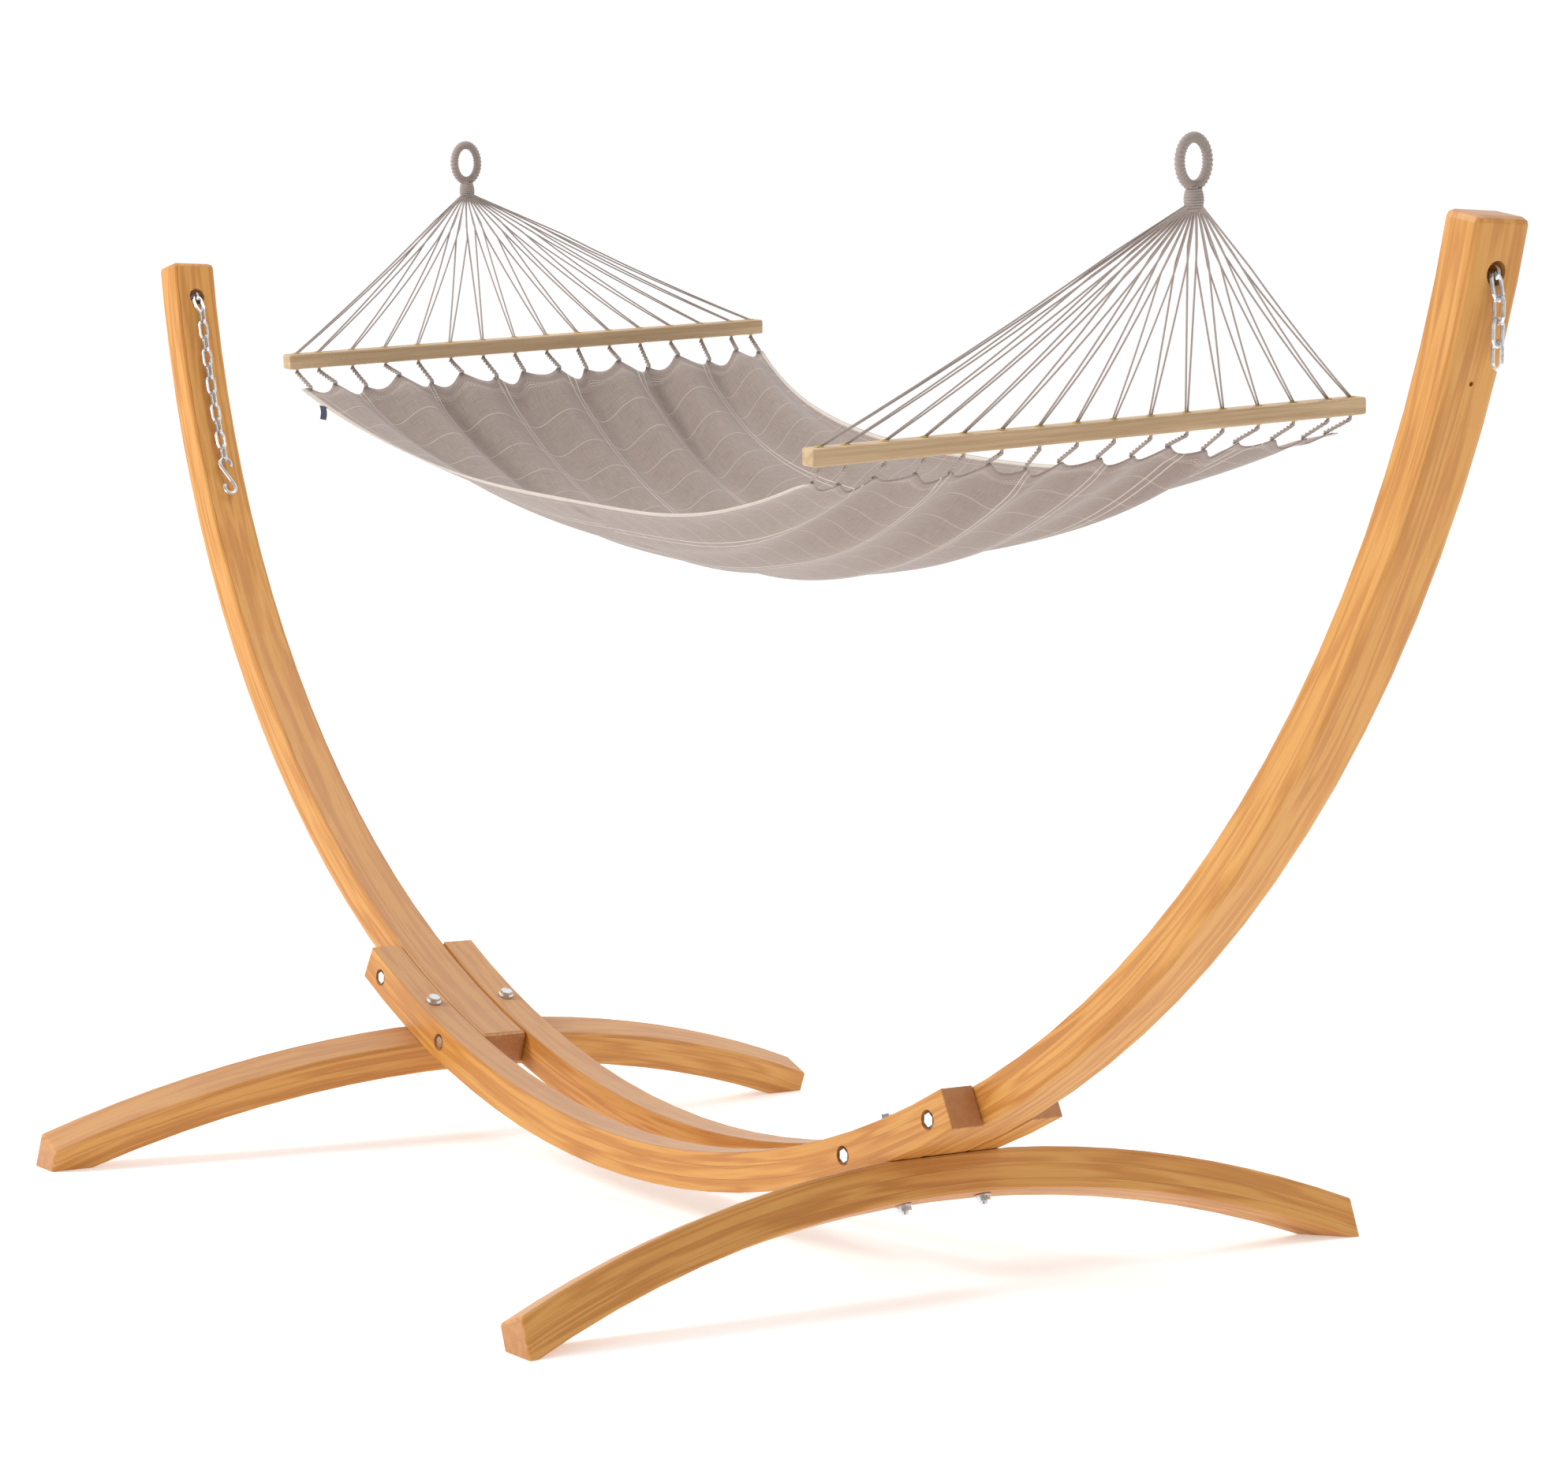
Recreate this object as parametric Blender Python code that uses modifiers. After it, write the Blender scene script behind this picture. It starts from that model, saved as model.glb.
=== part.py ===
"""Hammock on an arc stand: bent-timber arms, rails and feet, chains with S-hooks, and a bar hammock.

Metres, +Z up. The stand is one circular arc in the XZ plane, standing on two arched cross feet.
"""
import math

import bmesh
import bpy
from mathutils import Matrix, Vector

OBJECT_NAME = "hammock_on_stand"
UP = Vector((0.0, 0.0, 1.0))
ACROSS = Vector((0.0, 1.0, 0.0))

# Laminated timber
ARC_RADIUS = 1.600
ARC_CENTRE_Z = 1.672
BEAM_DEPTH = 0.056
ARM_WIDTH = 0.079
RAIL_WIDTH = 0.051
ARM_LOW_ANGLE = 17.7
ARM_TOP_ANGLE = 79.2
RAIL_END_ANGLE = 28.0
BEAM_STEPS = 22
EDGE_ROUND = 0.008
FIT = 0.0003
CURVE_FIT = 0.0011
RAIL_Y = ARM_WIDTH / 2 + FIT + RAIL_WIDTH / 2

# Cross feet
FOOT_ANGLE = 22.0
FOOT_LENGTH = 1.362
FOOT_WIDTH = 0.056
FOOT_RADIUS = 1.800
FOOT_SEAT = 0.105
FOOT_STEPS = 20

# Bolts and nuts
CROSS_BOLT_ANGLES = (19.3, 26.4)
SHANK_RADIUS = 0.0049
SHANK_TAIL = 0.013
NUT_BORE = 0.0054
BOLT_HOLE = 0.0056
HEX_RADIUS = 0.0096
HEX_HEIGHT = 0.0065
FLANGE_RADIUS = 0.0115
FLANGE_HEIGHT = 0.002
COUNTERBORE_RADIUS = 0.0135
COUNTERBORE_DEPTH = 0.010

# Chain, bore and S-hook
HOLE_ANGLE = 77.0
HOLE_RADIUS = 0.014
WIRE = 0.005
LINK_PITCH = 0.025
LINK_SLACK = 0.0008
LINK_BEND = 0.007
LINK_LENGTH = LINK_PITCH + WIRE + LINK_SLACK
LINK_GRIP = WIRE + LINK_SLACK
CHAIN_STANDOFF = 0.0115
MOUTH_REACH = 0.0035
CHAIN_LINKS = {"far": 12, "near": 6}
TAIL_LINKS = {"far": 2, "near": 4}
PIN_RADIUS = 0.003
PIN_LENGTH = 0.060
PLUG_HOLE_RADIUS = 0.003
PLUG_HOLE_ANGLE = 72.6
HOOK_WIRE = 0.006
HOOK_BEND = 0.0105
HOOK_HALF = 0.022

# Hammock, in its own level frame between the spreader bars
HANG_PLACE = Vector((0.200, 0.020, 1.181))
HANG_ROLL = 5.0
HANG_PITCH = 4.2
HANG_YAW = -5.0
BAR_X = 0.763
BAR_LENGTH = 0.818
BAR_WIDTH = 0.027
BAR_HEIGHT = 0.022
BAR_HOLE = 0.004
BAR_HOLES = 16
HOLE_STEP = 0.0549
END_STEP_SHARE = 0.65
LOOP_X = 0.967
LOOP_HEIGHTS = {"far": 0.225, "near": 0.285}
LOOP_WIRE = 0.0065
LOOP_HALF = (0.020, 0.028)
KNOT_RADIUS = 0.011
CORD_RADIUS = 0.0014
CORD_CLEARANCE = 0.002
BAR_EDGE_ROUND = 0.003
CLOTH_HALF_LENGTH = 0.735
CLOTH_CORD_GAP = 0.006
CLOTH_CORD_SPREAD = 0.975
CLOTH_HALF_WIDTH = 0.395
CLOTH_WAIST = 0.055
CLOTH_TOP = 0.038
HEM_SAG = 0.095
TROUGH_SAG = 0.128
SAG_POWERS = (3.0, 2.2)
CLOTH_THICKNESS = 0.005

SIDES = {"far": -1.0, "near": 1.0}


def clear_scene():
    for item in list(bpy.data.objects):
        bpy.data.objects.remove(item, do_unlink=True)


def make_collection(name):
    group = bpy.data.collections.new(name)
    bpy.context.scene.collection.children.link(group)
    return group


def make_material(name, colour, roughness, metallic=0.0):
    material = bpy.data.materials.new(name)
    material.use_nodes = True
    shader = material.node_tree.nodes["Principled BSDF"]
    shader.inputs["Base Color"].default_value = (*colour, 1.0)
    shader.inputs["Roughness"].default_value = roughness
    shader.inputs["Metallic"].default_value = metallic
    return material


def add_piece(name, mesh, material, matrix=None, smooth=35.0):
    piece = bpy.data.objects.new(name, mesh)
    if not mesh.materials:
        mesh.materials.append(material)
    mesh.shade_smooth()
    mesh.set_sharp_from_angle(angle=math.radians(smooth))
    piece.matrix_world = matrix or Matrix.Identity(4)
    PARTS.objects.link(piece)
    return piece


def basis(origin, x_axis, y_axis, z_axis):
    matrix = Matrix((x_axis, y_axis, z_axis)).transposed().to_4x4()
    matrix.translation = origin
    return matrix


def curve_mesh(name, curve):
    """A curve's evaluated mesh with its caps welded on."""
    holder = bpy.data.objects.new(name, curve)
    bpy.context.scene.collection.objects.link(holder)
    graph = bpy.context.evaluated_depsgraph_get()
    mesh = bpy.data.meshes.new_from_object(holder.evaluated_get(graph))
    bpy.data.objects.remove(holder)
    shape = bmesh.new()
    shape.from_mesh(mesh)
    bmesh.ops.remove_doubles(shape, verts=shape.verts, dist=0.00001)
    shape.to_mesh(mesh)
    shape.free()
    mesh.name = name
    return mesh


def poly_spline(curve, points, cyclic):
    spline = curve.splines.new("POLY")
    spline.points.add(len(points) - 1)
    for slot, point in zip(spline.points, points):
        slot.co = (*point, 1.0)
    spline.use_cyclic_u = cyclic


def plate_mesh(name, outline, thickness):
    """A flat outline in the local XY plane, extruded both ways along local Z."""
    curve = bpy.data.curves.new(name, "CURVE")
    curve.dimensions = "2D"
    curve.fill_mode = "BOTH"
    curve.extrude = thickness / 2
    poly_spline(curve, [(x, y, 0.0) for x, y in outline], True)
    return curve_mesh(name, curve)


def tube_mesh(name, paths, radius, cyclic=False, sides_level=1):
    curve = bpy.data.curves.new(name, "CURVE")
    curve.dimensions = "3D"
    curve.bevel_depth = radius
    curve.bevel_resolution = sides_level
    curve.use_fill_caps = not cyclic
    for path in paths:
        poly_spline(curve, path, cyclic)
    return curve_mesh(name, curve)


def cylinder_mesh(name, radius, length, sides, start=0.0):
    """A cylinder on local Z, from start to start + length."""
    shape = bmesh.new()
    middle = Matrix.Translation((0.0, 0.0, start + length / 2))
    bmesh.ops.create_cone(shape, cap_ends=True, segments=sides, radius1=radius, radius2=radius,
                          depth=length, matrix=middle)
    mesh = bpy.data.meshes.new(name)
    shape.to_mesh(mesh)
    shape.free()
    return mesh


def box_mesh(name, size):
    shape = bmesh.new()
    bmesh.ops.create_cube(shape, size=1.0)
    bmesh.ops.scale(shape, vec=size, verts=shape.verts)
    mesh = bpy.data.meshes.new(name)
    shape.to_mesh(mesh)
    shape.free()
    return mesh


def add_cutter(name, mesh, matrix):
    cutter = bpy.data.objects.new(name, mesh)
    cutter.matrix_world = matrix
    cutter.hide_render = True
    cutter.display_type = "WIRE"
    CUTTERS.objects.link(cutter)
    return cutter


def combine(piece, operation, cutter, with_self=False):
    boolean = piece.modifiers.new(operation.lower(), "BOOLEAN")
    boolean.operation = operation
    boolean.solver = "EXACT"
    boolean.use_self = with_self
    boolean.object = cutter


def bore(piece, radius, length, matrix, sides=16, start=None):
    start = -length / 2 if start is None else start
    mesh = cylinder_mesh(piece.name + "_cut", radius, length, sides, start)
    combine(piece, "DIFFERENCE", add_cutter(piece.name + "_cutter", mesh, matrix))


def round_edges(piece, width, segments=2):
    bevel = piece.modifiers.new("round_edges", "BEVEL")
    bevel.width = width
    bevel.segments = segments
    bevel.limit_method = "ANGLE"
    bevel.angle_limit = math.radians(40.0)


def arc_frame(angle, side):
    """Inward and upward unit vectors of the arc at an angle from its lowest point."""
    turn = math.radians(angle)
    inward = Vector((-side * math.sin(turn), 0.0, math.cos(turn)))
    upward = Vector((side * math.cos(turn), 0.0, math.sin(turn)))
    return inward, upward


def arc_point(angle, side, inset=0.0, y=0.0):
    inward, _ = arc_frame(angle, side)
    return Vector((0.0, y, ARC_CENTRE_Z)) - inward * (ARC_RADIUS - inset)


def spread(first, last, count):
    return [first + (last - first) * step / count for step in range(count + 1)]


def arc_beam(name, side, first, last, width, y, material):
    """A beam bent to the stand's arc, drawn in the plane of the arc and extruded across it."""
    outer = ARC_RADIUS + BEAM_DEPTH / 2
    inner = ARC_RADIUS - BEAM_DEPTH / 2
    turns = [math.radians(angle) for angle in spread(first, last, BEAM_STEPS)]
    outline = [(side * outer * math.sin(turn), -outer * math.cos(turn)) for turn in turns]
    outline += [(side * inner * math.sin(turn), -inner * math.cos(turn)) for turn in reversed(turns)]
    place = basis(Vector((0.0, y, ARC_CENTRE_Z)), Vector((1.0, 0.0, 0.0)), UP, -ACROSS)
    beam = add_piece(name, plate_mesh(name, outline, width), material, place)
    round_edges(beam, EDGE_ROUND)
    return beam


def across_matrix(point):
    """Local Z along +Y, for holes and bolts that run across the stand."""
    return basis(point, Vector((1.0, 0.0, 0.0)), -UP, ACROSS)


def radial_matrix(point, angle, side):
    """Local Z inward along the arc's radius."""
    inward, upward = arc_frame(angle, side)
    return basis(point, inward.cross(upward) * -1.0, upward, inward)


def build_arm(label, side, material):
    arm = arc_beam(label + "_arm", side, ARM_LOW_ANGLE, ARM_TOP_ANGLE, ARM_WIDTH, 0.0, material)
    for angle in CROSS_BOLT_ANGLES:
        bore(arm, BOLT_HOLE, ARM_WIDTH * 2, across_matrix(arc_point(angle, side)), 12)
    bore(arm, HOLE_RADIUS, BEAM_DEPTH * 2, radial_matrix(arc_point(HOLE_ANGLE, side), HOLE_ANGLE, side), 20)
    pin_hole = across_matrix(arc_point(HOLE_ANGLE, side))
    bore(arm, PIN_RADIUS + FIT, ARM_WIDTH, pin_hole, 10, start=ARM_WIDTH / 2 - PIN_LENGTH - FIT)
    outer_face = arc_point(PLUG_HOLE_ANGLE, side, -BEAM_DEPTH / 2)
    bore(arm, PLUG_HOLE_RADIUS, BEAM_DEPTH / 2, radial_matrix(outer_face, PLUG_HOLE_ANGLE, side), 10)


def build_rail(label, y, material):
    rail = arc_beam(label + "_rail", 1.0, -RAIL_END_ANGLE, RAIL_END_ANGLE, RAIL_WIDTH, y, material)
    outward = math.copysign(1.0, y)
    for side in SIDES.values():
        for angle in CROSS_BOLT_ANGLES:
            bore(rail, BOLT_HOLE, RAIL_WIDTH * 2, across_matrix(arc_point(angle, side, 0.0, y)), 12)
            face = arc_point(angle, side, 0.0, y + outward * RAIL_WIDTH / 2)
            bore(rail, COUNTERBORE_RADIUS, COUNTERBORE_DEPTH * 2, across_matrix(face), 16)
        place = radial_matrix(arc_point(FOOT_ANGLE, side, 0.0, y), FOOT_ANGLE, side)
        bore(rail, BOLT_HOLE, BEAM_DEPTH * 2, place, 12)


def foot_height(y, depth):
    """Height of the foot's arched faces over its seat, at a distance y from the middle."""
    crown = FOOT_RADIUS - math.sqrt(FOOT_RADIUS ** 2 - FOOT_SEAT ** 2)
    return crown - FOOT_RADIUS + math.sqrt((FOOT_RADIUS - depth) ** 2 - y ** 2)


def build_foot(label, side, material):
    """An arched cross foot, square to the rails, with its crown planed flat as their seat."""
    half = FOOT_LENGTH / 2
    top_stations = spread(-half, -FOOT_SEAT, FOOT_STEPS // 2) + spread(FOOT_SEAT, half, FOOT_STEPS // 2)
    outline = [(y, foot_height(y, 0.0)) for y in top_stations]
    outline += [(y, foot_height(y, BEAM_DEPTH)) for y in spread(half, -half, FOOT_STEPS)]
    inward, upward = arc_frame(FOOT_ANGLE, side)
    seat = arc_point(FOOT_ANGLE, side, -BEAM_DEPTH / 2 - FIT)
    place = basis(seat, ACROSS, inward, ACROSS.cross(inward))
    foot = add_piece(label + "_foot", plate_mesh(label + "_foot", outline, FOOT_WIDTH), material, place)
    round_edges(foot, EDGE_ROUND)
    for y in (-RAIL_Y, RAIL_Y):
        point = arc_point(FOOT_ANGLE, side, -BEAM_DEPTH, y)
        bore(foot, BOLT_HOLE, BEAM_DEPTH * 2, radial_matrix(point, FOOT_ANGLE, side), 12)
    ground = add_cutter(label + "_ground", box_mesh("ground", (1.0, FOOT_LENGTH * 2, 1.0)),
                        Matrix.Translation((seat.x, 0.0, -0.5)))
    combine(foot, "DIFFERENCE", ground)


def add_bolt(name, matrix, grip, material):
    """Hex flange bolt: the head's seat is at the local origin and the shank runs along -Z."""
    length = grip + SHANK_TAIL
    bolt = add_piece(name, cylinder_mesh(name, FLANGE_RADIUS, FLANGE_HEIGHT, 16, FIT), material, matrix)
    shank = cylinder_mesh(name + "_shank", SHANK_RADIUS, length + FLANGE_HEIGHT, 12, -length)
    combine(bolt, "UNION", add_cutter(name + "_shank", shank, matrix))
    head = cylinder_mesh(name + "_head", HEX_RADIUS, HEX_HEIGHT, 6, FLANGE_HEIGHT)
    combine(bolt, "UNION", add_cutter(name + "_head", head, matrix))


def add_nut(name, matrix, material):
    """Hex flange nut: its seat is at the local origin and it stands along -Z."""
    depth = FLANGE_HEIGHT + HEX_HEIGHT
    flange = cylinder_mesh(name, FLANGE_RADIUS, FLANGE_HEIGHT, 16, -FLANGE_HEIGHT - FIT)
    nut = add_piece(name, flange, material, matrix)
    body = cylinder_mesh(name + "_hex", HEX_RADIUS, HEX_HEIGHT, 6, -depth)
    combine(nut, "UNION", add_cutter(name + "_hex", body, matrix))
    bore(nut, NUT_BORE, depth * 4, matrix, 12)


def build_fasteners(material):
    cross_seat = RAIL_Y + RAIL_WIDTH / 2 - COUNTERBORE_DEPTH
    for label, side in SIDES.items():
        for place, angle in zip(("lower", "upper"), CROSS_BOLT_ANGLES):
            point = arc_point(angle, side, 0.0, -cross_seat)
            matrix = basis(point, Vector((1.0, 0.0, 0.0)), UP, -ACROSS)
            add_bolt(f"{label}_{place}_cross_bolt", matrix, cross_seat * 2, material)
            far_face = matrix @ Matrix.Translation((0.0, 0.0, -cross_seat * 2))
            add_nut(f"{label}_{place}_cross_nut", far_face, material)
        for place, y in (("front", -RAIL_Y), ("back", RAIL_Y)):
            point = arc_point(FOOT_ANGLE, side, BEAM_DEPTH / 2 + CURVE_FIT, y)
            matrix = radial_matrix(point, FOOT_ANGLE, side)
            grip = BEAM_DEPTH + CURVE_FIT * 2 - foot_height(y, BEAM_DEPTH)
            add_bolt(f"{label}_{place}_foot_bolt", matrix, grip, material)
            under = matrix @ Matrix.Translation((0.0, 0.0, -grip))
            add_nut(f"{label}_{place}_foot_nut", under, material)


def link_mesh(name, length):
    """An oval link in the local XY plane, long along Y."""
    straight = length / 2 - LINK_BEND
    points = []
    for middle, first in ((straight, 0.0), (-straight, 180.0)):
        for turn in spread(first, first + 180.0, 4):
            angle = math.radians(turn)
            points.append((LINK_BEND * math.cos(angle), middle + LINK_BEND * math.sin(angle), 0.0))
    return tube_mesh(name, [points], WIRE / 2, cyclic=True)


def add_link(name, mesh, middle, along, width, material):
    add_piece(name, mesh, material, basis(middle, width, along, width.cross(along)), smooth=80.0)


def bore_frame(side):
    inward, upward = arc_frame(HOLE_ANGLE, side)
    centre = arc_point(HOLE_ANGLE, side)

    def place(inset, drop, y=0.0):
        return centre + inward * inset - upward * drop + ACROSS * y
    return inward, upward, place


def mouth_drop():
    """How far the first link's low end lies below the bore, as it leans out over the lip."""
    reach = BEAM_DEPTH / 2 + MOUTH_REACH - LINK_GRIP
    return math.sqrt(LINK_LENGTH ** 2 - (BEAM_DEPTH / 2 + CHAIN_STANDOFF - reach) ** 2)


def build_bore(label, side, steel):
    """The cross pin in the arm, and the long link that it holds in the bore."""
    inward, upward, place = bore_frame(side)
    start = ARM_WIDTH / 2 - PIN_LENGTH
    pin = cylinder_mesh(label + "_bore_pin", PIN_RADIUS, PIN_LENGTH - EDGE_ROUND, 10, start)
    add_piece(label + "_bore_pin", pin, steel, across_matrix(place(0.0, 0.0)))
    mesh = link_mesh("bore_link", BEAM_DEPTH + MOUTH_REACH * 2)
    add_link(label + "_bore_link", mesh, place(0.0, 0.0), inward, upward, steel)


def build_inner_chain(label, side, count, steel):
    """Links from the bore's inner mouth down the arm's hollow face, then the S-hook."""
    place = bore_frame(side)[2]
    top = place(BEAM_DEPTH / 2 + MOUTH_REACH - LINK_GRIP, 0.0)
    low = place(BEAM_DEPTH / 2 + CHAIN_STANDOFF, mouth_drop())
    along = (top - low).normalized()
    mesh = link_mesh("chain_link", LINK_LENGTH)
    add_link(f"{label}_chain_link_01", mesh, (top + low) / 2, along, ACROSS, steel)
    track = ARC_RADIUS - BEAM_DEPTH / 2 - CHAIN_STANDOFF
    drop = mouth_drop() - LINK_GRIP + LINK_LENGTH / 2
    for number in range(2, count + 1):
        angle = HOLE_ANGLE - math.degrees(drop / track)
        inward, upward = arc_frame(angle, side)
        middle = arc_point(angle, side, BEAM_DEPTH / 2 + CHAIN_STANDOFF)
        width = ACROSS if number % 2 else inward
        add_link(f"{label}_chain_link_{number:02d}", mesh, middle, upward, width, steel)
        drop += LINK_PITCH
    build_hook(label, side, drop - LINK_PITCH + LINK_LENGTH / 2 - (WIRE + HOOK_WIRE) / 2 - LINK_SLACK, steel)


def build_hook(label, side, top_drop, steel):
    track = ARC_RADIUS - BEAM_DEPTH / 2 - CHAIN_STANDOFF
    angle = HOLE_ANGLE - math.degrees((top_drop + HOOK_HALF + HOOK_BEND) / track)
    inward, upward = arc_frame(angle, side)
    middle = arc_point(angle, side, BEAM_DEPTH / 2 + CHAIN_STANDOFF)
    points = []
    for turn in spread(-35.0, 205.0, 9):
        bend = math.radians(turn)
        points.append((HOOK_BEND * math.cos(bend), HOOK_HALF + HOOK_BEND * math.sin(bend), 0.0))
    points += [(-x, -y, 0.0) for x, y, _ in reversed(points)]
    mesh = tube_mesh(label + "_s_hook", [points], HOOK_WIRE / 2, sides_level=2)
    place = basis(middle, ACROSS, upward, ACROSS.cross(upward))
    add_piece(label + "_s_hook", mesh, steel, place, smooth=60.0)


def build_tail(label, side, steel):
    """The loose end of the chain, hanging free of the arm's outer face."""
    place = bore_frame(side)[2]
    top = place(-(BEAM_DEPTH / 2 + MOUTH_REACH - LINK_GRIP), 0.0)
    low = place(-(BEAM_DEPTH / 2 + CHAIN_STANDOFF), mouth_drop())
    mesh = link_mesh("tail_link", LINK_LENGTH)
    add_link(f"{label}_tail_link_1", mesh, (top + low) / 2, (top - low).normalized(), ACROSS, steel)
    middle = low + UP * (LINK_GRIP - LINK_LENGTH / 2)
    for number in range(2, TAIL_LINKS[label] + 1):
        width = ACROSS if number % 2 else UP.cross(ACROSS)
        add_link(f"{label}_tail_link_{number}", mesh, middle, UP, width, steel)
        middle = middle - UP * LINK_PITCH


def hammock_matrix():
    roll = Matrix.Rotation(math.radians(HANG_ROLL), 4, "X")
    pitch = Matrix.Rotation(math.radians(HANG_PITCH), 4, "Y")
    yaw = Matrix.Rotation(math.radians(HANG_YAW), 4, "Z")
    return Matrix.Translation(HANG_PLACE) @ yaw @ roll @ pitch


def bar_hole_stations():
    inner = [HOLE_STEP * (step - (BAR_HOLES - 3) / 2) for step in range(BAR_HOLES - 2)]
    edge = inner[-1] + HOLE_STEP * END_STEP_SHARE
    return [-edge] + inner + [edge]


def build_bar(label, side, hang, wood):
    mesh = box_mesh(label + "_spreader_bar", (BAR_WIDTH, BAR_LENGTH, BAR_HEIGHT))
    place = hang @ Matrix.Translation((side * BAR_X, 0.0, 0.0))
    bar = add_piece(label + "_spreader_bar", mesh, wood, place)
    round_edges(bar, BAR_EDGE_ROUND)
    for y in bar_hole_stations():
        bore(bar, BAR_HOLE, BAR_HEIGHT * 2, place @ Matrix.Translation((0.0, y, 0.0)), 10)


def build_loop(label, side, hang, cord):
    half_width, half_height = LOOP_HALF
    points = []
    for turn in spread(0.0, 360.0, 18)[:-1]:
        angle = math.radians(turn)
        points.append((0.0, half_width * math.cos(angle), half_height * math.sin(angle)))
    mesh = tube_mesh(label + "_loop", [points], LOOP_WIRE, cyclic=True, sides_level=2)
    rise = LOOP_HEIGHTS[label] + KNOT_RADIUS + LOOP_WIRE + FIT + half_height
    add_piece(label + "_loop", mesh, cord, hang @ Matrix.Translation((side * LOOP_X, 0.0, rise)), smooth=70.0)


def build_cords(label, side, hang, cord):
    """The fan of cords from the knot through the bar's holes to the cloth's gathered edge."""
    knot = Vector((side * LOOP_X, 0.0, LOOP_HEIGHTS[label]))
    paths = []
    for y in bar_hole_stations():
        over = Vector((side * BAR_X, y, BAR_HEIGHT / 2 + CORD_CLEARANCE))
        under = Vector((side * BAR_X, y, -BAR_HEIGHT / 2 - CORD_CLEARANCE))
        edge_x = side * (CLOTH_HALF_LENGTH + CLOTH_CORD_GAP)
        edge = Vector((edge_x, y * CLOTH_CORD_SPREAD, -CLOTH_TOP + CORD_CLEARANCE))
        paths.append([knot, over, under, edge])
    fan = tube_mesh(label + "_cords", paths, CORD_RADIUS, sides_level=0)
    piece = add_piece(label + "_cords", fan, cord, hang, smooth=80.0)
    shape = bmesh.new()
    bmesh.ops.create_uvsphere(shape, u_segments=12, v_segments=8, radius=KNOT_RADIUS)
    ball = bpy.data.meshes.new(label + "_knot")
    shape.to_mesh(ball)
    shape.free()
    combine(piece, "UNION", add_cutter(label + "_knot", ball, hang @ Matrix.Translation(knot)), True)


def cloth_point(share_x, share_y):
    """A point of the hammock's bed; both shares run from -1 to 1."""
    sag = 1.0 - abs(share_x) ** SAG_POWERS[share_x > 0.0]
    half_width = CLOTH_HALF_WIDTH - CLOTH_WAIST * sag
    depth = CLOTH_TOP + sag * (HEM_SAG + TROUGH_SAG * (1.0 - share_y ** 2))
    return Vector((share_x * CLOTH_HALF_LENGTH, share_y * half_width, -depth))


def build_cloth(hang, cloth):
    shape = bmesh.new()
    bmesh.ops.create_grid(shape, x_segments=16, y_segments=8, size=1.0)
    for vertex in shape.verts:
        vertex.co = cloth_point(vertex.co.x, vertex.co.y)
    mesh = bpy.data.meshes.new("bed_cloth")
    shape.to_mesh(mesh)
    shape.free()
    piece = add_piece("bed_cloth", mesh, cloth, hang)
    solidify = piece.modifiers.new("thickness", "SOLIDIFY")
    solidify.thickness = CLOTH_THICKNESS
    solidify.offset = -1.0


def build():
    larch = make_material("larch_timber", (0.62, 0.30, 0.07), 0.45)
    bar_wood = make_material("bar_wood", (0.66, 0.47, 0.27), 0.55)
    steel = make_material("zinc_steel", (0.72, 0.73, 0.74), 0.28, 1.0)
    cord = make_material("taupe_cord", (0.36, 0.30, 0.25), 0.85)
    cloth = make_material("taupe_cloth", (0.40, 0.32, 0.26), 0.90)
    hang = hammock_matrix()
    build_rail("front", -RAIL_Y, larch)
    build_rail("back", RAIL_Y, larch)
    for label, side in SIDES.items():
        build_arm(label, side, larch)
        build_foot(label, side, larch)
        build_bore(label, side, steel)
        build_inner_chain(label, side, CHAIN_LINKS[label], steel)
        build_tail(label, side, steel)
        build_bar(label, side, hang, bar_wood)
        build_loop(label, side, hang, cord)
        build_cords(label, side, hang, cord)
    build_fasteners(steel)
    build_cloth(hang, cloth)


clear_scene()
PARTS = make_collection(OBJECT_NAME)
CUTTERS = make_collection("cutters")
build()
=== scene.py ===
"""Looks for the hammock on its arc stand: timber, steel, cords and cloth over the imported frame."""
import math

import bmesh
import bpy
from mathutils import Matrix, Vector, noise


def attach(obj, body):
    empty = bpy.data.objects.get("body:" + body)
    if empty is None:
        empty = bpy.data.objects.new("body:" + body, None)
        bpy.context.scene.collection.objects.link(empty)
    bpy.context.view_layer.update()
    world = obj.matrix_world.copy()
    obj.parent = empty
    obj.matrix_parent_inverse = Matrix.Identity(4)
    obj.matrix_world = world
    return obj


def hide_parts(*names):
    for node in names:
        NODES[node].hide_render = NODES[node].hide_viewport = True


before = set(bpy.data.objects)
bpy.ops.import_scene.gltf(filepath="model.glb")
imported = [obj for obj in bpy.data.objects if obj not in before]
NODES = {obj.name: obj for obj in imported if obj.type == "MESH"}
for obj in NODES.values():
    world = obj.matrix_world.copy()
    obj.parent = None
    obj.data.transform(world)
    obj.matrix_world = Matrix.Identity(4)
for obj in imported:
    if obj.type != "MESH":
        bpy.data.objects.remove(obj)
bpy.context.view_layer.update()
UP = Vector((0.0, 0.0, 1.0))
ACROSS = Vector((0.0, 1.0, 0.0))
SIDES = {"far": -1.0, "near": 1.0}

# The stand's geometry, as in the frame, for the run of the timber's grain
ARC_RADIUS = 1.600
ARC_CENTRE_Z = 1.672
BEAM_DEPTH = 0.056
FOOT_ANGLE = 22.0
FOOT_RADIUS = 1.800
LAMELLA = 0.0187

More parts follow.
